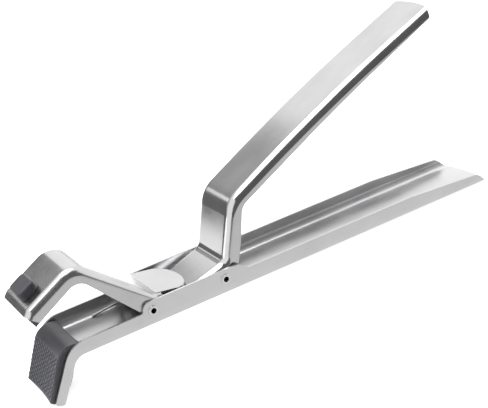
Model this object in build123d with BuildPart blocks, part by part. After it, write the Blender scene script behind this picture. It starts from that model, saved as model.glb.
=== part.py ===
"""Jar lifter: two pressed channel arms that close a pair of padded jaws.

Frame, in millimetres: +X runs along the lower handle towards its rear tip, so the jaws are at -X.
Y runs across the tool, which is the same on both sides of Y = 0. +Z is up, square to the lower handle's
flat underside. The origin is on that underside, halfway across, straight below the jaw pivot.
"""
import os
from build123d import *

# ---- sheet metal ----
SHEET = 1.2
PLATE_END_ROUND = 1.0

# ---- base channel: lower handle, ears and lower jaw ----
BASE_WIDTH = 35.0
BASE_CORNER = 5.0
HANDLE_END_X = 186.4
HANDLE_END_BULGE = 2.0
WALL_TOP_Z = 9.0
FRONT_WALL_TOP_Z = 8.3
EAR_TOP_Z = 12.6
JAW_BEND_X = -37.1
LOWER_JAW_TIP = (-47.3, -18.2)
LOWER_JAW_WALL = 6.2
LOWER_BEND_RADIUS = 6.0

# ---- pivots ----
JAW_PIVOT = (0.0, 8.0)
LEVER_PIVOT = (36.5, 8.1)
RIVET_RADIUS = 1.8
RIVET_BORE_RADIUS = 1.25
RIVET_HEAD_RADIUS = 2.4
RIVET_HEAD_HEIGHT = 0.5
EAR_HOLE_CLEARANCE = 0.02
RUNNING_CLEARANCE = 0.06

# ---- upper jaw ----
UPPER_JAW_WIDTH = 32.2
UPPER_JAW_CORNER = 3.8
TONGUE_WIDTH = 28.0
TONGUE_END = (22.0, 10.9)
TONGUE_BEND = (4.0, 13.8)
JAW_CREST = (-28.7, 41.9)
UPPER_JAW_TIP = (-53.9, 26.9)
JAW_LIP_BEND = (-52.1, 29.2)
UPPER_FLANGE_CREST = (-28.2, 34.4)
UPPER_FLANGE_DEPTH = 6.5
JAW_LOBE_RADIUS = 3.5

# ---- lever handle ----
LEVER_WIDTH = 30.2
LEVER_CORNER = 4.2
LEVER_END = (168.4, 95.1)
GRIP_ARCH = (98.0, 66.8)
LEVER_END_BULGE = 1.8
LEVER_UPPER_BEND = (47.3, 40.3)
LEVER_LOWER_BEND = (38.9, 14.3)
LEVER_TONGUE_FRONT = (11.5, 6.35)
GRIP_FLANGE_DEPTH = 4.4
LEVER_LOBE_RADIUS = 5.4

# ---- pads ----
LOWER_PAD_WIDTH = 32.2
UPPER_PAD_WIDTH = 29.2
PAD_BUTTON = (13.4, 9.2)
PAD_BUTTON_CORNER = 2.2
PAD_BUTTON_HEIGHT = 3.8
PAD_HOLLOW_RADIUS = 110.0
PAD_HOLLOW_DEPTH = 1.1

# ---- return spring ----
WIRE_RADIUS = 0.6
ELBOW_RADIUS = 0.64
COIL_RADIUS = 4.0
COIL_PITCH = 1.35
COIL_TURNS = 5 + 137.3 / 360
JAW_LEG_SLOPE = 42.7
COIL_START_Y = 13.2
FLOOR_LEG_TIP = (-18.6, 1.9)
JAW_LEG_LENGTH = 18.0

# ---- spacers on the lever rivet ----
SPACER_RADIUS = 3.2
SPACER_END_GAP = 0.1

REACH = 60.0


def parallel(points, distance):
    """Corners of the line parallel to points, on the left of its direction, at distance."""
    moved = []
    last = len(points) - 1
    for index, point in enumerate(points):
        start = max(index - 1, 0)
        end = min(index, last - 1)
        before = (Vector(points[start + 1]) - Vector(points[start])).normalized()
        after = (Vector(points[end + 1]) - Vector(points[end])).normalized()
        left_before = Vector(-before.Y, before.X)
        left_after = Vector(-after.Y, after.X)
        shift = (left_before + left_after) * (distance / (1 + left_before.dot(left_after)))
        corner = Vector(point) + shift
        moved.append((corner.X, corner.Y))
    return moved


def beyond(point, other, distance):
    """The place at distance past point, on the straight line that comes from other."""
    place = Vector(point) + (Vector(point) - Vector(other)).normalized() * distance
    return (place.X, place.Y)


def side_outline(corners):
    """Closed outline in the side plane, from (x, z, corner radius) rows."""
    points = [(x, z) for x, z, _ in corners]
    radii = [radius for _, _, radius in corners]
    return FilletPolyline(*points, radius=radii, close=True)


def bend_line(points, radii):
    """Open bend line of a sheet in the side plane, as a wire."""
    with BuildLine(Plane.XZ) as bend:
        FilletPolyline(*points, radius=radii)
    return bend.wire()


def edges_along(body, line, half_width):
    """The edges of body that follow line on the two side faces at half_width."""

    def follows(edge):
        middle = edge @ 0.5
        on_side = abs(abs(middle.Y) - half_width) < 0.01
        return on_side and line.distance_to(Vector(middle.X, 0, middle.Z)) < 0.01

    return body.edges().filter_by(follows)


def folded_block(line, radii, half_width, corner):
    """Block on the inside of a bend line, REACH deep, with its two long folded edges rounded."""
    start_deep = beyond(line[0], parallel(line, -1)[0], REACH)
    end_deep = beyond(line[-1], parallel(line, -1)[-1], REACH)
    with BuildPart() as block:
        with BuildSketch(Plane.XZ):
            with BuildLine():
                side_outline(
                    [(*line[0], 0)]
                    + [(*point, radius) for point, radius in zip(line[1:-1], radii)]
                    + [(*line[-1], 0), (*end_deep, 0), (*start_deep, 0)]
                )
            make_face()
        extrude(amount=half_width, both=True)
        fillet(edges_along(block.part, bend_line(line, radii), half_width), corner)
    return block.part


def pin_plane(pivot, y=0.0):
    """Plane square to the pivot's axis, with its normal along -Y."""
    return Plane(origin=(pivot[0], y, pivot[1]), x_dir=(1, 0, 0), z_dir=(0, -1, 0))


def button_plane(centre, outward):
    """Plane on a jaw plate's outside, x across the tool and normal pointing outward."""
    return Plane(origin=(centre[0], 0, centre[1]), x_dir=(0, 1, 0), z_dir=(outward[0], 0, outward[1]))


# ---- bend lines: listed so that the inside of the channel is on the left ----
HANDLE_END = (HANDLE_END_X, 0.0)
JAW_BEND = (JAW_BEND_X, 0.0)
base_outside = [LOWER_JAW_TIP, JAW_BEND, HANDLE_END]
base_inside = parallel(base_outside, SHEET)
lower_wall_edge = parallel([LOWER_JAW_TIP, JAW_BEND], LOWER_JAW_WALL)
jaw_outside = [TONGUE_END, TONGUE_BEND, JAW_CREST, JAW_LIP_BEND, UPPER_JAW_TIP]
jaw_inside = parallel(jaw_outside, SHEET)
lever_outside = [LEVER_END, GRIP_ARCH, LEVER_UPPER_BEND, LEVER_LOWER_BEND, LEVER_TONGUE_FRONT]
lever_inside = parallel(lever_outside, SHEET)

lower_jaw_run = (Vector(JAW_BEND) - Vector(LOWER_JAW_TIP)).normalized()
lower_jaw_back = (lower_jaw_run.Y, -lower_jaw_run.X)
upper_jaw_run = (Vector(JAW_CREST) - Vector(JAW_LIP_BEND)).normalized()
upper_jaw_front = (-upper_jaw_run.Y, upper_jaw_run.X)
lower_button_centre = beyond(LOWER_JAW_TIP, JAW_BEND, -8.0)
upper_button_centre = beyond(JAW_LIP_BEND, JAW_CREST, -6.2)

# ---- base channel ----
BASE_BOTTOM_RADII = [LOWER_BEND_RADIUS]
BASE_FLOOR_RADII = [LOWER_BEND_RADIUS + SHEET]

with BuildPart() as base_hollow:
    jaw_end = beyond(base_inside[0], base_inside[1], 8)
    with BuildSketch(Plane.XZ):
        with BuildLine():
            side_outline(
                [
                    (*jaw_end, 0),
                    (*base_inside[1], BASE_FLOOR_RADII[0]),
                    (HANDLE_END_X + 8, SHEET, 0),
                    (HANDLE_END_X + 8, REACH, 0),
                    (jaw_end[0] - 30, REACH, 0),
                    (jaw_end[0] - 30, jaw_end[1], 0),
                ]
            )
        make_face()
    extrude(amount=BASE_WIDTH / 2 - SHEET, both=True)
    floor_line = bend_line([jaw_end, base_inside[1], (HANDLE_END_X + 8, SHEET)], BASE_FLOOR_RADII)
    fillet(edges_along(base_hollow.part, floor_line, BASE_WIDTH / 2 - SHEET), BASE_CORNER - SHEET)

with BuildPart() as base_channel:
    with BuildSketch(Plane.XZ):
        with BuildLine():
            side_outline(
                [
                    (*LOWER_JAW_TIP, 0),
                    (*JAW_BEND, LOWER_BEND_RADIUS),
                    (*HANDLE_END, 0),
                    (HANDLE_END_X, SHEET, 0),
                    (HANDLE_END_X - HANDLE_END_BULGE, SHEET, 0),
                    (179.6, 6.2, 5.0),
                    (140.0, WALL_TOP_Z, 60.0),
                    (48.6, WALL_TOP_Z, 5.0),
                    (43.4, EAR_TOP_Z, 4.0),
                    (-3.6, EAR_TOP_Z, 3.2),
                    (-5.0, FRONT_WALL_TOP_Z, 1.2),
                    (-39.6, FRONT_WALL_TOP_Z, 13.0),
                    (*lower_wall_edge[0], 0.8),
                ]
            )
        make_face()
    extrude(amount=BASE_WIDTH / 2, both=True)
    underside_line = bend_line(base_outside, BASE_BOTTOM_RADII)
    fillet(edges_along(base_channel.part, underside_line, BASE_WIDTH / 2), BASE_CORNER)
    add(base_hollow.part, mode=Mode.SUBTRACT)
    # The rear tip is a shallow arc seen from above.
    with BuildSketch(Plane.XY.offset(-REACH)):
        with BuildLine():
            tip_x = HANDLE_END_X - HANDLE_END_BULGE
            ThreePointArc((tip_x, BASE_WIDTH / 2), (HANDLE_END_X, 0), (tip_x, -BASE_WIDTH / 2))
            Polyline(
                (tip_x, -BASE_WIDTH / 2), (-80, -BASE_WIDTH / 2), (-80, BASE_WIDTH / 2), (tip_x, BASE_WIDTH / 2)
            )
        make_face()
    extrude(amount=2 * REACH, mode=Mode.INTERSECT)
    for pivot in (JAW_PIVOT, LEVER_PIVOT):
        with BuildSketch(pin_plane(pivot)):
            Circle(RIVET_RADIUS + EAR_HOLE_CLEARANCE)
        extrude(amount=REACH, both=True, mode=Mode.SUBTRACT)
    # The lower pad's button passes through the jaw plate.
    with BuildSketch(button_plane(lower_button_centre, lower_jaw_back).offset(1)):
        RectangleRounded(*PAD_BUTTON, PAD_BUTTON_CORNER)
    extrude(amount=-SHEET - 2, mode=Mode.SUBTRACT)
base_channel.part.label = "base_channel"

# ---- lower jaw pad ----
PAD_REAR_TOP = (-34.0, 6.2)
PAD_SHOULDER = (-43.2, 8.8)
PAD_FACE_TIP = (-54.3, -14.6)
with BuildPart() as lower_jaw_pad:
    with BuildSketch(Plane.XZ):
        with BuildLine():
            side_outline(
                [
                    (*base_inside[0], 0),
                    (*base_inside[1], BASE_FLOOR_RADII[0]),
                    (-33.4, SHEET, 0),
                    (*PAD_REAR_TOP, 0.5),
                    (*PAD_SHOULDER, 9.0),
                    (*PAD_FACE_TIP, 0.8),
                ]
            )
        make_face()
    extrude(amount=LOWER_PAD_WIDTH / 2, both=True)
    add(base_hollow.part, mode=Mode.INTERSECT)
    # A shallow hollow across the face fits the round side of a jar.
    face_run = (Vector(PAD_SHOULDER) - Vector(PAD_FACE_TIP)).normalized()
    face_out = Vector(-face_run.Y, face_run.X)
    hollow_centre = Vector(PAD_FACE_TIP) + face_out * (PAD_HOLLOW_RADIUS - PAD_HOLLOW_DEPTH)
    hollow_plane = Plane(
        origin=(hollow_centre.X, 0, hollow_centre.Y), x_dir=(0, 1, 0), z_dir=(face_run.X, 0, face_run.Y)
    )
    with BuildSketch(hollow_plane.offset(-10)):
        Circle(PAD_HOLLOW_RADIUS)
    extrude(amount=REACH, mode=Mode.SUBTRACT)
    with BuildSketch(button_plane(lower_button_centre, lower_jaw_back).offset(PAD_BUTTON_HEIGHT)):
        RectangleRounded(PAD_BUTTON[0] - 0.1, PAD_BUTTON[1] - 0.1, PAD_BUTTON_CORNER)
    extrude(amount=-PAD_BUTTON_HEIGHT - SHEET - 0.5)
lower_jaw_pad.part.label = "lower_jaw_pad"

# ---- upper jaw ----
TONGUE_RADIUS = 4.0
CREST_RADIUS = 10.5
LIP_RADIUS = 5.0
jaw_rear_top = beyond(TONGUE_BEND, TONGUE_END, -2.6)
tip_beyond = beyond(UPPER_JAW_TIP, JAW_LIP_BEND, 4)
jaw_block = folded_block(
    [jaw_rear_top, TONGUE_BEND, JAW_CREST, JAW_LIP_BEND, tip_beyond],
    [TONGUE_RADIUS, CREST_RADIUS, LIP_RADIUS],
    UPPER_JAW_WIDTH / 2,
    UPPER_JAW_CORNER,
)
jaw_run = parallel([beyond(TONGUE_END, TONGUE_BEND, 8), *jaw_outside[1:-1], tip_beyond], SHEET)
jaw_hollow = folded_block(
    jaw_run,
    [TONGUE_RADIUS + SHEET, CREST_RADIUS - SHEET, LIP_RADIUS - SHEET],
    UPPER_JAW_WIDTH / 2 - SHEET,
    UPPER_JAW_CORNER - SHEET,
)

# The flat tongue behind the pivot, rounded at its rear end.
TONGUE_STRAIGHT_END_X = 14.0
with BuildPart() as jaw_tongue:
    with BuildSketch(Plane.XZ):
        with BuildLine():
            side_outline(
                [
                    (*TONGUE_END, 0),
                    (*TONGUE_BEND, TONGUE_RADIUS),
                    (*beyond(TONGUE_BEND, JAW_CREST, -6), 0),
                    (*beyond(jaw_inside[1], jaw_inside[2], -6), 0),
                    (*jaw_inside[1], TONGUE_RADIUS + SHEET),
                    (*jaw_inside[0], 0),
                ]
            )
        make_face()
    extrude(amount=TONGUE_WIDTH / 2, both=True)
    with BuildSketch():
        with Locations((TONGUE_STRAIGHT_END_X - REACH / 2, 0)):
            Rectangle(REACH, TONGUE_WIDTH)
        with Locations((TONGUE_STRAIGHT_END_X, 0)):
            Ellipse(TONGUE_END[0] - TONGUE_STRAIGHT_END_X, TONGUE_WIDTH / 2)
    extrude(amount=REACH, mode=Mode.INTERSECT)

jaw_front_above = parallel([JAW_LIP_BEND, UPPER_JAW_TIP], -REACH)[1]
jaw_flange_tip = parallel([JAW_LIP_BEND, UPPER_JAW_TIP], UPPER_FLANGE_DEPTH)[1]
with BuildPart() as upper_jaw:
    with BuildSketch(Plane.XZ):
        with BuildLine():
            side_outline(
                [
                    (jaw_rear_top[0], REACH, 0),
                    (*jaw_front_above, 0),
                    (*jaw_flange_tip, PLATE_END_ROUND),
                    (*UPPER_FLANGE_CREST, 6.5),
                    (-2.4, 5.4, 0),
                    (*JAW_PIVOT, 0),
                    (JAW_LOBE_RADIUS, JAW_PIVOT[1], 0),
                    (jaw_rear_top[0], JAW_PIVOT[1] + 4, 0),
                ]
            )
        make_face()
        with Locations(JAW_PIVOT):
            Circle(JAW_LOBE_RADIUS)
    extrude(amount=UPPER_JAW_WIDTH, both=True)
    add(jaw_block, mode=Mode.INTERSECT)
    add(jaw_hollow, mode=Mode.SUBTRACT)
    add(jaw_tongue.part)
    with BuildSketch(pin_plane(JAW_PIVOT)):
        Circle(RIVET_RADIUS + RUNNING_CLEARANCE)
    extrude(amount=REACH, both=True, mode=Mode.SUBTRACT)
    with BuildSketch(button_plane(upper_button_centre, upper_jaw_front).offset(1)):
        RectangleRounded(*PAD_BUTTON, PAD_BUTTON_CORNER)
    extrude(amount=-SHEET - 2, mode=Mode.SUBTRACT)
upper_jaw.part.label = "upper_jaw"

# ---- upper jaw pad ----
UPPER_PAD_FACE_DEPTH = 8.4
UPPER_PAD_LENGTH = 23.0
UPPER_PAD_REAR_FACE = (-30.4, 32.0)
pad_back_tip = beyond(jaw_inside[3], jaw_inside[2], 3.0)
pad_face_tip = beyond(*parallel([JAW_LIP_BEND, JAW_CREST], -UPPER_PAD_FACE_DEPTH), 2.4)
with BuildPart() as upper_jaw_pad:
    with BuildSketch(Plane.XZ):
        with BuildLine():
            side_outline(
                [
                    (*pad_back_tip, 0),
                    (*beyond(jaw_inside[3], jaw_inside[2], -UPPER_PAD_LENGTH), 0),
                    (*UPPER_PAD_REAR_FACE, 1.5),
                    (*pad_face_tip, 0.8),
                ]
            )
        make_face()
    extrude(amount=UPPER_PAD_WIDTH / 2, both=True)
    add(jaw_hollow, mode=Mode.INTERSECT)
    face_run = (Vector(UPPER_PAD_REAR_FACE) - Vector(pad_face_tip)).normalized()
    face_out = Vector(face_run.Y, -face_run.X)
    hollow_centre = Vector(pad_face_tip) + face_out * (PAD_HOLLOW_RADIUS - PAD_HOLLOW_DEPTH)
    hollow_plane = Plane(
        origin=(hollow_centre.X, 0, hollow_centre.Y), x_dir=(0, 1, 0), z_dir=(face_run.X, 0, face_run.Y)
    )
    with BuildSketch(hollow_plane.offset(-10)):
        Circle(PAD_HOLLOW_RADIUS)
    extrude(amount=REACH, mode=Mode.SUBTRACT)
    with BuildSketch(button_plane(upper_button_centre, upper_jaw_front).offset(PAD_BUTTON_HEIGHT)):
        RectangleRounded(PAD_BUTTON[0] - 0.1, PAD_BUTTON[1] - 0.1, PAD_BUTTON_CORNER)
    extrude(amount=-PAD_BUTTON_HEIGHT - SHEET - 0.5)
upper_jaw_pad.part.label = "upper_jaw_pad"

# ---- lever handle ----
GRIP_ARCH_RADIUS = 900.0
UPPER_BEND_RADIUS = 16.0
LOWER_BEND_OUTER_RADIUS = 4.5
grip_edge = parallel([LEVER_END, GRIP_ARCH], GRIP_FLANGE_DEPTH)
grip_beyond = beyond(LEVER_END, GRIP_ARCH, 8)
front_beyond = beyond(LEVER_TONGUE_FRONT, LEVER_LOWER_BEND, 8)
lever_run = [grip_beyond, GRIP_ARCH, LEVER_UPPER_BEND, LEVER_LOWER_BEND, front_beyond]
lever_block = folded_block(
    lever_run,
    [GRIP_ARCH_RADIUS, UPPER_BEND_RADIUS, LOWER_BEND_OUTER_RADIUS],
    LEVER_WIDTH / 2,
    LEVER_CORNER,
)
lever_hollow = folded_block(
    parallel(lever_run, SHEET),
    [GRIP_ARCH_RADIUS - SHEET, UPPER_BEND_RADIUS - SHEET, LOWER_BEND_OUTER_RADIUS + SHEET],
    LEVER_WIDTH / 2 - SHEET,
    LEVER_CORNER - SHEET,
)
LOBE_FRONT = (30.8, 5.4)
end_above = parallel([LEVER_END, GRIP_ARCH], -REACH)[0]
with BuildPart() as lever_handle:
    with BuildSketch(Plane.XZ):
        with BuildLine():
            side_outline(
                [
                    (*end_above, 0),
                    (*beyond(LEVER_TONGUE_FRONT, lever_inside[4], REACH), 0),
                    (*lever_inside[4], 0),
                    (*LOBE_FRONT, 0),
                    (*LEVER_PIVOT, 0),
                    (41.0, 5.2, 0),
                    (45.1, 10.9, 4.0),
                    (48.9, 21.9, 12.0),
                    (53.0, 36.9, 7.0),
                    (110.0, 65.0, GRIP_ARCH_RADIUS),
                    (*grip_edge[0], 3.6),
                ]
            )
        make_face()
        with Locations(LEVER_PIVOT):
            Circle(LEVER_LOBE_RADIUS)
    extrude(amount=LEVER_WIDTH, both=True)
    add(lever_block, mode=Mode.INTERSECT)
    add(lever_hollow, mode=Mode.SUBTRACT)
    # The grip's end is a shallow arc seen from above.
    with BuildSketch(Plane.XY.offset(-REACH)):
        with BuildLine():
            tip_x = LEVER_END[0] - LEVER_END_BULGE
            ThreePointArc((tip_x, LEVER_WIDTH / 2), (LEVER_END[0], 0), (tip_x, -LEVER_WIDTH / 2))
            Polyline(
                (tip_x, -LEVER_WIDTH / 2), (-10, -LEVER_WIDTH / 2), (-10, LEVER_WIDTH / 2), (tip_x, LEVER_WIDTH / 2)
            )
        make_face()
    extrude(amount=3 * REACH, mode=Mode.INTERSECT)
    with BuildSketch(pin_plane(LEVER_PIVOT)):
        Circle(RIVET_RADIUS + RUNNING_CLEARANCE)
    extrude(amount=REACH, both=True, mode=Mode.SUBTRACT)
lever_handle.part.label = "lever_handle"

# ---- hollow rivets, one per pivot ----
HEAD_OUTER_Y = BASE_WIDTH / 2 + RIVET_HEAD_HEIGHT
rivets = {}
for name, pivot in (("jaw_pivot_rivet", JAW_PIVOT), ("lever_pivot_rivet", LEVER_PIVOT)):
    with BuildPart() as rivet:
        with BuildSketch(Plane(origin=(pivot[0], 0, pivot[1]), x_dir=(1, 0, 0), z_dir=(0, 0, 1))):
            with BuildLine():
                side_outline(
                    [
                        (RIVET_BORE_RADIUS, -HEAD_OUTER_Y, 0.2),
                        (RIVET_HEAD_RADIUS, -HEAD_OUTER_Y, 0.35),
                        (RIVET_HEAD_RADIUS, -BASE_WIDTH / 2, 0),
                        (RIVET_RADIUS, -BASE_WIDTH / 2, 0),
                        (RIVET_RADIUS, BASE_WIDTH / 2, 0),
                        (RIVET_HEAD_RADIUS, BASE_WIDTH / 2, 0),
                        (RIVET_HEAD_RADIUS, HEAD_OUTER_Y, 0.35),
                        (RIVET_BORE_RADIUS, HEAD_OUTER_Y, 0.2),
                    ]
                )
            make_face()
        revolve(axis=Axis((pivot[0], 0, pivot[1]), (0, 1, 0)))
    rivet.part.label = name
    rivets[name] = rivet.part

# ---- spacers between the lever and the ears ----
SPACER_LENGTH = BASE_WIDTH / 2 - SHEET - LEVER_WIDTH / 2 - 2 * SPACER_END_GAP
spacers = {}
for name, side in (("lever_spacer_near", -1), ("lever_spacer_far", 1)):
    middle_y = side * (LEVER_WIDTH / 2 + SPACER_END_GAP + SPACER_LENGTH / 2)
    with BuildPart() as spacer:
        with BuildSketch(pin_plane(LEVER_PIVOT, middle_y)):
            Circle(SPACER_RADIUS)
            Circle(RIVET_RADIUS + RUNNING_CLEARANCE, mode=Mode.SUBTRACT)
        extrude(amount=SPACER_LENGTH / 2, both=True)
    spacer.part.label = name
    spacers[name] = spacer.part

# ---- return spring: a coil round the jaw rivet and two straight legs ----
coil_frame = Plane(origin=(JAW_PIVOT[0], COIL_START_Y, JAW_PIVOT[1]), x_dir=(0, 0, -1), z_dir=(0, -1, 0))
coil = coil_frame.location * Edge.make_helix(COIL_PITCH, COIL_PITCH * COIL_TURNS, COIL_RADIUS)
with BuildPart() as return_spring:
    with BuildSketch(Plane(origin=coil @ 0, z_dir=coil % 0)):
        Circle(WIRE_RADIUS)
    sweep(path=coil, is_frenet=True)
    coil_end = coil @ 1
    leg_way = Vector(-1, 0, 0).rotate(Axis.Y, JAW_LEG_SLOPE)
    for root, tip in (
        (coil @ 0, Vector(FLOOR_LEG_TIP[0], COIL_START_Y, FLOOR_LEG_TIP[1])),
        (coil_end, coil_end + leg_way * JAW_LEG_LENGTH),
    ):
        with BuildSketch(Plane(origin=root, z_dir=tip - root)):
            Circle(WIRE_RADIUS)
        extrude(amount=(tip - root).length)
        with Locations(root):
            Sphere(ELBOW_RADIUS, rotation=(0, 90, 0))
return_spring.part.label = "return_spring"

# ---- one file per piece ----
os.makedirs("parts", exist_ok=True)
export_step(base_channel.part, "parts/base_channel.step")
export_step(lower_jaw_pad.part, "parts/lower_jaw_pad.step")
export_step(upper_jaw.part, "parts/upper_jaw.step")
export_step(upper_jaw_pad.part, "parts/upper_jaw_pad.step")
export_step(lever_handle.part, "parts/lever_handle.step")
export_step(return_spring.part, "parts/return_spring.step")
for name, piece in (rivets | spacers).items():
    export_step(piece, f"parts/{name}.step")
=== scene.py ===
"""Looks for the jar lifter: steel and rubber, moulded jaw pads and the wound spring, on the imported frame.

Sizes are in millimetres in the row frame and are turned to metres where a mesh is made.
"""
import math

import bpy
from mathutils import Euler, Matrix, Vector


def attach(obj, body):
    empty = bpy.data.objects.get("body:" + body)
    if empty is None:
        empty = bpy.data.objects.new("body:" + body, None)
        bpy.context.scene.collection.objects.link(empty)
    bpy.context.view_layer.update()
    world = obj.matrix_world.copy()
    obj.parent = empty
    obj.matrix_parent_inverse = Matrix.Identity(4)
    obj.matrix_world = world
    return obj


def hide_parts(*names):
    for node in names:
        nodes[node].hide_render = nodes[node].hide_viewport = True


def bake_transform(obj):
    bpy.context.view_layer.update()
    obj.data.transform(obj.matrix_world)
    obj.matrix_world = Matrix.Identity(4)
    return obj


MM = 0.001

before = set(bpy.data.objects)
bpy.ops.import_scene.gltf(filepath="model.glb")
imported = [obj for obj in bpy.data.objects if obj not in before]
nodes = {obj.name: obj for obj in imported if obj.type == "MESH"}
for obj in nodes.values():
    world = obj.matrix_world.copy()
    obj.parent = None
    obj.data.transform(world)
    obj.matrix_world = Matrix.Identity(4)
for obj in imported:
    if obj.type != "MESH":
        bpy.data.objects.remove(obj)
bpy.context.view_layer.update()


# ---- materials ----
def new_material(name):
    material = bpy.data.materials.new(name)
    material.use_nodes = True
    tree = material.node_tree
    return material, tree, tree.nodes["Principled BSDF"]


def noise(tree, scale, detail=3.0, roughness=0.5, offset=0.0):
    """Noise in object space, stretched by scale, which has one number per axis in 1/metres."""
    where = tree.nodes.new("ShaderNodeTexCoord")
    mapping = tree.nodes.new("ShaderNodeMapping")
    mapping.inputs["Scale"].default_value = scale
    mapping.inputs["Location"].default_value = (offset, offset, offset)
    texture = tree.nodes.new("ShaderNodeTexNoise")
    texture.inputs["Scale"].default_value = 1.0
    texture.inputs["Detail"].default_value = detail
    texture.inputs["Roughness"].default_value = roughness
    tree.links.new(where.outputs["Object"], mapping.inputs["Vector"])
    tree.links.new(mapping.outputs["Vector"], texture.inputs["Vector"])
    return texture.outputs["Fac"]


def spread(tree, value, low, high):
    """value, mostly between 0.3 and 0.7, turned into low to high."""
    ramp = tree.nodes.new("ShaderNodeMapRange")
    ramp.inputs["From Min"].default_value = 0.3
    ramp.inputs["From Max"].default_value = 0.7
    ramp.inputs["To Min"].default_value = low
    ramp.inputs["To Max"].default_value = high
    tree.links.new(value, ramp.inputs["Value"])
    return ramp.outputs["Result"]


def tint(tree, value, dark, light):
    mix = tree.nodes.new("ShaderNodeMix")
    mix.data_type = "RGBA"
    mix.inputs["A"].default_value = (*dark, 1)
    mix.inputs["B"].default_value = (*light, 1)
    tree.links.new(value, mix.inputs["Factor"])
    return mix.outputs["Result"]


def steel(name, dark, light, rough, grain, edge_radius):
    """Polished steel: a fine lengthwise grain, faint clouding and softly rounded cut edges."""
    material, tree, shader = new_material(name)
    shader.inputs["Metallic"].default_value = 1.0
    clouds = noise(tree, (45, 60, 60), detail=4)
    lines = noise(tree, grain, detail=2, offset=3.7)
    tree.links.new(tint(tree, spread(tree, clouds, 0, 1), dark, light), shader.inputs["Base Color"])
    both = tree.nodes.new("ShaderNodeMath")
    both.operation = "ADD"
    tree.links.new(spread(tree, clouds, rough[0], rough[1]), both.inputs[0])
    tree.links.new(spread(tree, lines, -0.025, 0.025), both.inputs[1])
    tree.links.new(both.outputs[0], shader.inputs["Roughness"])
    edge = tree.nodes.new("ShaderNodeBevel")
    edge.samples = 6
    edge.inputs["Radius"].default_value = edge_radius * MM
    bump = tree.nodes.new("ShaderNodeBump")
    bump.inputs["Strength"].default_value = 0.03
    bump.inputs["Distance"].default_value = 0.02 * MM
    tree.links.new(lines, bump.inputs["Height"])
    tree.links.new(edge.outputs["Normal"], bump.inputs["Normal"])
    tree.links.new(bump.outputs["Normal"], shader.inputs["Normal"])
    return material


def rubber(name):
    """Satin moulded rubber with a fine mould grain and a trace of bloom."""
    material, tree, shader = new_material(name)
    clouds = noise(tree, (220, 220, 220), detail=5, roughness=0.6)
    grain = noise(tree, (5200, 5200, 5200), detail=3, offset=1.3)
    tree.links.new(
        tint(tree, spread(tree, clouds, 0, 1), (0.014, 0.014, 0.017), (0.028, 0.028, 0.033)),
        shader.inputs["Base Color"],
    )
    tree.links.new(spread(tree, clouds, 0.34, 0.46), shader.inputs["Roughness"])
    shader.inputs["Sheen Weight"].default_value = 0.35
    shader.inputs["Sheen Roughness"].default_value = 0.4
    shader.inputs["Sheen Tint"].default_value = (0.80, 0.80, 0.90, 1)
    bump = tree.nodes.new("ShaderNodeBump")
    bump.inputs["Strength"].default_value = 0.35
    bump.inputs["Distance"].default_value = 0.05 * MM
    tree.links.new(grain, bump.inputs["Height"])
    tree.links.new(bump.outputs["Normal"], shader.inputs["Normal"])
    return material


# dark and light tone of the sheet; the lower handle is a little less polished than the rest
SHEET_TONES = ((0.50, 0.497, 0.505), (0.56, 0.557, 0.562))
BASE_TONES = ((0.58, 0.577, 0.585), (0.65, 0.647, 0.652))
RIVET_TONES = ((0.6, 0.6, 0.61), (0.7, 0.7, 0.71))
WIRE_TONES = ((0.55, 0.55, 0.56), (0.66, 0.66, 0.67))
SHEET_GRAIN = (60, 2600, 2600)
SHEET_EDGE = 0.35
lever_steel = steel("lever_steel", *SHEET_TONES, (0.11, 0.17), SHEET_GRAIN, SHEET_EDGE)
jaw_steel = steel("jaw_steel", *SHEET_TONES, (0.17, 0.24), SHEET_GRAIN, SHEET_EDGE)
base_steel = steel("base_steel", *BASE_TONES, (0.28, 0.36), SHEET_GRAIN, SHEET_EDGE)
rivet_steel = steel("rivet_steel", *RIVET_TONES, (0.16, 0.26), (1800, 200, 1800), 0.15)
wire_steel = steel("wire_steel", *WIRE_TONES, (0.18, 0.28), (900, 900, 900), 0.02)
pad_rubber = rubber("pad_rubber")

for name, finish in (
    ("base_channel", base_steel),
    ("upper_jaw", jaw_steel),
    ("lever_handle", lever_steel),
    ("jaw_pivot_rivet", rivet_steel),
    ("lever_pivot_rivet", rivet_steel),
    ("lever_spacer_near", rivet_steel),
    ("lever_spacer_far", rivet_steel),
):
    nodes[name].data.materials.clear()
    nodes[name].data.materials.append(finish)


# ---- meshes ----
def rounded(corners, step):
    """Points about step apart along an open line of (x, z, corner radius) rows, with the corners rounded."""
    line = []
    places = [Vector((x, z)) for x, z, _ in corners]
    for index, (x, z, radius) in enumerate(corners):
        here = places[index]
        if radius == 0 or index in (0, len(corners) - 1):
            line.append([here])
            continue
        back = (places[index - 1] - here).normalized()
        ahead = (places[index + 1] - here).normalized()
        half = back.angle(ahead) / 2
        reach = radius / math.tan(half)
        centre = here + (back + ahead).normalized() * (radius / math.sin(half))
        start = here + back * reach - centre
        turn = math.pi - 2 * half
        if start.x * ahead.y - start.y * ahead.x < 0:
            turn = -turn
        count = max(3, math.ceil(abs(turn) * radius / step))
        arc = []
        for k in range(count + 1):
            angle = turn * k / count
            c = math.cos(angle)
            s = math.sin(angle)
            arc.append(centre + Vector((start.x * c - start.y * s, start.x * s + start.y * c)))
        line.append(arc)
    points = list(line[0])
    for piece in line[1:]:
        gap = (piece[0] - points[-1]).length
        count = max(1, math.ceil(gap / step))
        first = points[-1]
        points += [first.lerp(piece[0], k / count) for k in range(1, count + 1)]
        points += piece[1:]
    return points


def outward(points):
    """Unit normals on the left of an open line."""
    normals = []
    last = len(points) - 1
    for index in range(len(points)):
        run = (points[min(index + 1, last)] - points[max(index - 1, 0)]).normalized()
        normals.append(Vector((-run.y, run.x)))
    return normals


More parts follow.
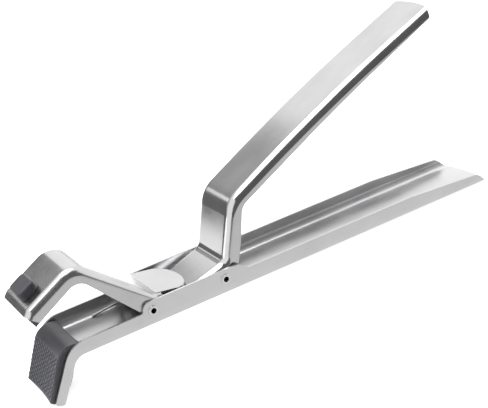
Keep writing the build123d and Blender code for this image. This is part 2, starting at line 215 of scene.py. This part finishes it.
def skin(sections, flip):
    """Faces that join equal closed sections into a tube with flat ends."""
    count = len(sections[0])
    faces = []
    for j in range(len(sections) - 1):
        for i in range(count):
            k = (i + 1) % count
            quad = [j * count + i, j * count + k, (j + 1) * count + k, (j + 1) * count + i]
            faces.append(quad[::-1] if flip else quad)
    ends = [list(range(count))[::-1], [(len(sections) - 1) * count + i for i in range(count)]]
    faces += [end[::-1] if flip else end for end in ends]
    return faces


def lofted(name, sections, flip, material):
    """An object whose skin joins the sections, which are in millimetres."""
    mesh = bpy.data.meshes.new(name)
    mesh.from_pydata([Vector(point) * MM for row in sections for point in row], [], skin(sections, flip))
    mesh.validate()
    mesh.polygons.foreach_set("use_smooth", [True] * len(mesh.polygons))
    mesh.materials.append(material)
    piece = bpy.data.objects.new(name, mesh)
    bpy.context.scene.collection.objects.link(piece)
    return piece


GRIP_PITCH = 2.1
GRIP_HEIGHT = 0.32
GRIP_SKEW = 0.62
GRIP_FADE = 1.2
# half a groove's floor and the width of its wall, both as parts of the pitch
GROOVE_FLOOR = 0.07
GROOVE_WALL = 0.12


def grip(along, across, length, half_width):
    """Height of the moulded diamond grip, whose grooves fade out before the pad's edges."""
    a = (along + across * GRIP_SKEW) / GRIP_PITCH
    b = (along - across * GRIP_SKEW) / GRIP_PITCH
    groove = min(abs(a - round(a)), abs(b - round(b)))
    stud = min(1.0, max(0.0, (groove - GROOVE_FLOOR) / GROOVE_WALL))
    from_edge = min(half_width - abs(across), along, length - along)
    return -GRIP_HEIGHT * (1 - stud * stud * (3 - 2 * stud)) * min(1.0, max(0.0, from_edge / GRIP_FADE))


def quarter_drop(distance, radius):
    """How far a quarter round of the radius has dropped at a distance past its start."""
    past = max(0.0, distance)
    return radius - math.sqrt(max(0.0, radius ** 2 - past ** 2))


def pad_sections(back, face, grip_ends, half_width, edge_radius, wall, wall_corner):
    """Sections of a pad across Y, in the side plane: face is its exposed line and back its line on the plate.

    grip_ends are the first and last places of the grip on the face. wall is half the width inside the steel
    channel, and wall_corner the radius of the fold that the pad's back lies in.
    """
    face_out = outward(face)
    back_out = outward(back)
    travelled = [0.0]
    for before, point in zip(face, face[1:]):
        travelled.append(travelled[-1] + (point - before).length)
    grip_start = travelled[grip_ends[0]]
    grip_length = travelled[grip_ends[1]] - grip_start

    round_from = half_width - edge_radius
    edge_stations = [round_from + edge_radius * math.sin(math.radians(a)) for a in range(0, 91, 15)]
    rows = math.ceil(2 * half_width / PAD_STEP)
    stations = [half_width * (2 * k / rows - 1) for k in range(rows + 1)]
    stations = [y for y in stations if abs(y) < round_from - 0.02]
    stations = [-y for y in edge_stations[::-1]] + stations + edge_stations
    sections = []
    for y in stations:
        inset = quarter_drop(abs(y) - round_from, edge_radius)
        sag = PAD_HOLLOW * (1 - (y / half_width) ** 2)
        rise = quarter_drop(abs(y) - (wall - wall_corner), wall_corner)
        row = []
        for place, out, way in zip(face, face_out, travelled):
            along = way - grip_start
            relief = grip(along, y, grip_length, half_width) if 0 < along < grip_length else 0.0
            moved = place + out * (relief - sag - inset)
            row.append((moved.x, y, moved.y))
        for place, out in zip(back, back_out):
            moved = place - out * rise
            row.append((moved.x, y, moved.y))
        sections.append(row)
    return sections


BUTTON_SIZE = (13.6, 9.4)
BUTTON_CORNER = 2.4
BUTTON_HEIGHT = 3.8
BUTTON_SINK = 2.0
BUTTON_ROUND = 0.9
BUTTON_DRAFT = 0.05


def button(centre, outward_way):
    """Sections of a rounded retaining button that stands out of a jaw plate, with a slightly dished top."""
    across = Vector((0, 1, 0))
    out = Vector((outward_way[0], 0, outward_way[1]))
    along = out.cross(across)
    middle = Vector((centre[0], 0, centre[1]))
    # each ring has its height above the plate and how much larger it is than the button's size, per side
    rings = [(-BUTTON_SINK, -0.45), (-0.1, -0.45), (0.0, -0.1), (0.12, 0.0)]
    round_from = BUTTON_HEIGHT - BUTTON_ROUND
    for angle in (0.0, 0.35, 0.7, 1.05, 1.35, 1.5708):
        turned_in = BUTTON_ROUND * (1 - math.cos(angle))
        rings.append((round_from + BUTTON_ROUND * math.sin(angle), -BUTTON_DRAFT - turned_in))
    rings += [(BUTTON_HEIGHT - 0.08, -1.6), (BUTTON_HEIGHT - 0.16, -2.6), (BUTTON_HEIGHT - 0.18, -3.6)]
    sections = []
    for lift, grow in rings:
        half_a = BUTTON_SIZE[0] / 2 + grow
        half_b = BUTTON_SIZE[1] / 2 + grow
        radius = max(0.4, BUTTON_CORNER + grow)
        row = []
        for quarter, (sign_a, sign_b) in enumerate(((1, 1), (-1, 1), (-1, -1), (1, -1))):
            for k in range(9):
                angle = math.radians(90 * quarter + 90 * k / 8)
                a = sign_a * (half_a - radius) + radius * math.cos(angle)
                b = sign_b * (half_b - radius) + radius * math.sin(angle)
                row.append(middle + across * a + along * b + out * lift)
        sections.append(row)
    return sections


# ---- jaw pads ----
SHEET = 1.2
PAD_STEP = 0.26
BACK_STEP = 0.8
PAD_HOLLOW = 1.1

# The lower jaw's plate runs from its tip up to its bend; the pad's back lies on the plate's inside.
LOWER_TIP = Vector((-47.3, -18.2))
LOWER_BEND = Vector((-37.1, 0.0))
HALF_BEND = math.radians(30.3)
FLOOR_END = (-33.4, SHEET, 0)
FLOOR_BEND_RADIUS = 7.2
LOWER_FACE = ((-54.3, -14.6, 0), (-43.2, 8.8, 9.0), (-34.0, 6.2, 0))
LOWER_GRIP_SHARE = 0.62
lower_run = (LOWER_BEND - LOWER_TIP).normalized()
lower_back = Vector((lower_run.y, -lower_run.x))
tip_inside = LOWER_TIP - lower_back * SHEET
bend_inside = (LOWER_BEND.x - SHEET * math.tan(HALF_BEND), SHEET)

back = rounded([FLOOR_END, (*bend_inside, FLOOR_BEND_RADIUS), (*tip_inside, 0)], BACK_STEP)
face = rounded(LOWER_FACE, PAD_STEP)
grip_ends = (2, int(len(face) * LOWER_GRIP_SHARE))
sections = pad_sections(back, face, grip_ends, half_width=15.7, edge_radius=1.5, wall=16.3, wall_corner=3.8)
lower_pad = lofted("lower_pad_rubber", sections, False, pad_rubber)
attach(lower_pad, "base")
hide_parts("lower_jaw_pad")

# The upper jaw's front plate runs from its lip up to its crest.
UPPER_LIP = Vector((-52.1, 29.2))
UPPER_CREST = Vector((-28.7, 41.9))
UPPER_BACK_TIP = (-53.0, 25.8, 0)
UPPER_BACK_LENGTH = 23
LIP_RADIUS = 3.8
UPPER_FACE_REAR = (-30.4, 32.0, 0)
UPPER_FACE_DEPTH = 8.4
UPPER_FACE_OVERHANG = 2.4
upper_run = (UPPER_CREST - UPPER_LIP).normalized()
upper_front = Vector((-upper_run.y, upper_run.x))
lip_inside = UPPER_LIP - upper_front * SHEET
rear_inside = lip_inside + upper_run * UPPER_BACK_LENGTH
face_tip = UPPER_LIP - upper_front * UPPER_FACE_DEPTH - upper_run * UPPER_FACE_OVERHANG

back = rounded([UPPER_BACK_TIP, (*lip_inside, LIP_RADIUS), (*rear_inside, 0)], BACK_STEP)
face = rounded([UPPER_FACE_REAR, (*face_tip, 0)], PAD_STEP)
grip_ends = (2, len(face) - 3)
sections = pad_sections(back, face, grip_ends, half_width=14.6, edge_radius=0.7, wall=14.9, wall_corner=2.6)
upper_pad = lofted("upper_pad_rubber", sections, False, pad_rubber)
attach(upper_pad, "jaw")
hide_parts("upper_jaw_pad")

# Each pad's retaining button passes through its plate, at a distance up from the plate's tip.
for name, tip, run, out, distance, body in (
    ("lower_pad_button", LOWER_TIP, lower_run, lower_back, 8.0, "base"),
    ("upper_pad_button", UPPER_LIP, upper_run, upper_front, 6.2, "jaw"),
):
    pad_button = lofted(name, button(tip + run * distance, out), True, pad_rubber)
    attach(pad_button, body)

# ---- return spring: a leg on the channel floor, a coil round the jaw rivet, a leg under the jaw ----
WIRE_RADIUS = 0.6
WIRE_SIDES = 14
COIL_RADIUS = 4.0
PITCH = 1.35
TURNS = 5 + 137.3 / 360
STEPS_PER_TURN = 48
LEG_STEPS = 24
PIVOT_Z = 8.0
START_Y = 13.2
JAW_LEG_SLOPE = math.radians(42.7)
JAW_LEG_LENGTH = 18.0

floor_leg_tip = Vector((-18.6, START_Y, 1.9))
coil_start = Vector((0, START_Y, PIVOT_Z - COIL_RADIUS))
path = [floor_leg_tip.lerp(coil_start, k / LEG_STEPS) for k in range(LEG_STEPS)]
steps = round(TURNS * STEPS_PER_TURN)
for k in range(steps + 1):
    angle = math.tau * TURNS * k / steps - math.pi / 2
    x = COIL_RADIUS * math.cos(angle)
    z = PIVOT_Z + COIL_RADIUS * math.sin(angle)
    path.append(Vector((x, START_Y - PITCH * TURNS * k / steps, z)))
coil_end = path[-1].copy()
leg_way = Vector((-math.cos(JAW_LEG_SLOPE), 0, math.sin(JAW_LEG_SLOPE)))
path += [coil_end + leg_way * (JAW_LEG_LENGTH * k / LEG_STEPS) for k in range(1, LEG_STEPS + 1)]

sections = []
side = Vector((0, 1, 0))
for index, place in enumerate(path):
    run = (path[min(index + 1, len(path) - 1)] - path[max(index - 1, 0)]).normalized()
    side = (side - run * side.dot(run)).normalized()
    up = run.cross(side)
    row = []
    for s in range(WIRE_SIDES):
        angle = math.tau * s / WIRE_SIDES
        row.append(place + (side * math.cos(angle) + up * math.sin(angle)) * WIRE_RADIUS)
    sections.append(row)
spring = lofted("spring_wire", sections, True, wire_steel)
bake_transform(spring)
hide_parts("return_spring")


# ---- floor ----
def plane(name, corners, material):
    mesh = bpy.data.meshes.new(name)
    mesh.from_pydata(corners, [], [(0, 1, 2, 3)])
    mesh.materials.append(material)
    sheet = bpy.data.objects.new(name, mesh)
    bpy.context.scene.collection.objects.link(sheet)
    return sheet


# The tool lies on the tip of its lower jaw and on the end of its lower handle, so the floor slopes under it.
REST_FRONT = (-47.3 * MM, -18.25 * MM)
REST_REAR_X = 186.4 * MM
FLOOR_SLOPE = 18.2 * MM / (REST_REAR_X - REST_FRONT[0])
FLOOR_HALF = 6.0


def on_floor(x, y):
    """The place on the floor straight above or below x, y, in metres."""
    return (x, y, REST_FRONT[1] + FLOOR_SLOPE * (x - REST_FRONT[0]))


floor_material, tree, shader = new_material("floor_white")
shader.inputs["Roughness"].default_value = 0.9
# A little light of its own takes the shadow off the floor.
shader.inputs["Emission Color"].default_value = (1, 1, 1, 1)
shader.inputs["Emission Strength"].default_value = 0.55
floor_tint = tint(tree, noise(tree, (3, 3, 3)), (0.86, 0.86, 0.86), (0.88, 0.88, 0.88))
tree.links.new(floor_tint, shader.inputs["Base Color"])
floor_corners = [on_floor(FLOOR_HALF * x, FLOOR_HALF * y) for x, y in ((-1, -1), (1, -1), (1, 1), (-1, 1))]
plane("floor", floor_corners, floor_material)


# ---- boards that only the polished steel sees: they give it its light and dark reflections ----
def board(name, corners, greys, axis):
    """A glowing board, greys[0] at its lowest place along the axis and greys[1] at its highest."""
    material, tree, shader = new_material(name)
    shader.inputs["Base Color"].default_value = (0, 0, 0, 1)
    shader.inputs["Roughness"].default_value = 1.0
    shader.inputs["Specular IOR Level"].default_value = 0.0
    shader.inputs["Emission Strength"].default_value = 1.0
    where = tree.nodes.new("ShaderNodeTexCoord")
    split = tree.nodes.new("ShaderNodeSeparateXYZ")
    tree.links.new(where.outputs["Object"], split.inputs["Vector"])
    ramp = tree.nodes.new("ShaderNodeMapRange")
    ramp.interpolation_type = "SMOOTHSTEP"
    ends = [corner["XYZ".index(axis)] for corner in corners]
    ramp.inputs["From Min"].default_value = min(ends)
    ramp.inputs["From Max"].default_value = max(ends)
    tree.links.new(split.outputs[axis], ramp.inputs["Value"])
    shade = tint(tree, ramp.outputs["Result"], (greys[0],) * 3, (greys[1],) * 3)
    tree.links.new(shade, shader.inputs["Emission Color"])
    sheet = plane(name, corners, material)
    sheet.visible_camera = False
    sheet.visible_diffuse = False
    sheet.visible_shadow = False
    sheet.visible_transmission = False


# name, x from and to, z from and to, y, greys from bottom to top
for name, x, z, y, greys in (
    ("back_left_low", (-6.0, 0.13), (-0.6, 0.62), 1.6, (0.20, 0.20)),
    ("back_left_mid", (-6.0, 0.13), (0.62, 1.05), 1.6, (0.26, 0.55)),
    ("back_left_top", (-6.0, 0.13), (1.05, 1.9), 1.6, (0.60, 0.9)),
    ("back_left_window", (-0.85, -0.48), (0.63, 0.76), 1.55, (1.7, 1.7)),
    ("front_wall", (-1.6, 1.9), (-0.3, 1.9), -2.0, (0.16, 0.16)),
):
    corners = [(x[0], y, z[0]), (x[1], y, z[0]), (x[1], y, z[1]), (x[0], y, z[1])]
    board(name, corners, greys, "Z")
ceiling_corners = [(-1.6, -2.0, 1.9), (1.9, -2.0, 1.9), (1.9, -0.75, 2.3), (-1.6, -0.75, 2.3)]
board("front_ceiling", ceiling_corners, (0.16, 0.24), "Y")
# strips of table top, just above the floor: name, y from and to, greys from front to back
TABLE_HALF = 3.0
TABLE_LIFT = 0.1 * MM
for name, near, far, greys in (
    ("table_far", 0.56, 2.0, (0.2, 0.2)),
    ("table_horizon", 0.46, 0.56, (1.5, 0.2)),
    ("table_back", 0.10, 0.46, (1.5, 1.5)),
    ("table_behind", 0.02, 0.10, (0.9, 1.5)),
    ("table_near", -0.24, 0.02, (0.85, 0.9)),
    ("table_edge", -0.50, -0.24, (0.12, 0.85)),
    ("table_front", -2.0, -0.50, (0.10, 0.12)),
):
    around = ((-TABLE_HALF, near), (TABLE_HALF, near), (TABLE_HALF, far), (-TABLE_HALF, far))
    corners = [on_floor(x, y) for x, y in around]
    board(name, [(x, y, z + TABLE_LIFT) for x, y, z in corners], greys, "Y")


# ---- light and camera ----
world = bpy.data.worlds.new("studio")
bpy.context.scene.world = world
world.use_nodes = True
background = world.node_tree.nodes["Background"]
background.inputs["Color"].default_value = (1.0, 1.0, 1.0, 1)
background.inputs["Strength"].default_value = 1.35

lamp = bpy.data.lights.new("overhead", "AREA")
lamp.shape = "RECTANGLE"
lamp.size = 1.6
lamp.size_y = 1.2
lamp.energy = 16
overhead = bpy.data.objects.new("overhead", lamp)
bpy.context.scene.collection.objects.link(overhead)
OVERHEAD_PLACE = Vector((-0.1, 0.1, 1.5))
TOOL_MIDDLE = Vector((0.05, 0, 0.02))
overhead.location = OVERHEAD_PLACE
overhead.rotation_mode = "QUATERNION"
overhead.rotation_quaternion = (TOOL_MIDDLE - OVERHEAD_PLACE).to_track_quat("-Z", "Y")

camera_data = bpy.data.cameras.new("camera")
camera_data.sensor_width = 36.0
camera_data.lens = 88.5246
camera_data.clip_start = 0.01
camera_data.clip_end = 50
camera = bpy.data.objects.new("camera", camera_data)
bpy.context.scene.collection.objects.link(camera)
CAMERA_PLACE = Vector((-0.14918, -0.46417, 0.23710))
# turns about X, then Y, then Z, in degrees, from looking straight down
CAMERA_TURNS = (67.488, 11.54, -29.091)
camera_turn = Euler([math.radians(turn) for turn in CAMERA_TURNS], "XYZ")
camera.matrix_world = Matrix.LocRotScale(CAMERA_PLACE, camera_turn, None)
bpy.context.scene.camera = camera
bpy.context.scene.view_settings.view_transform = "Standard"
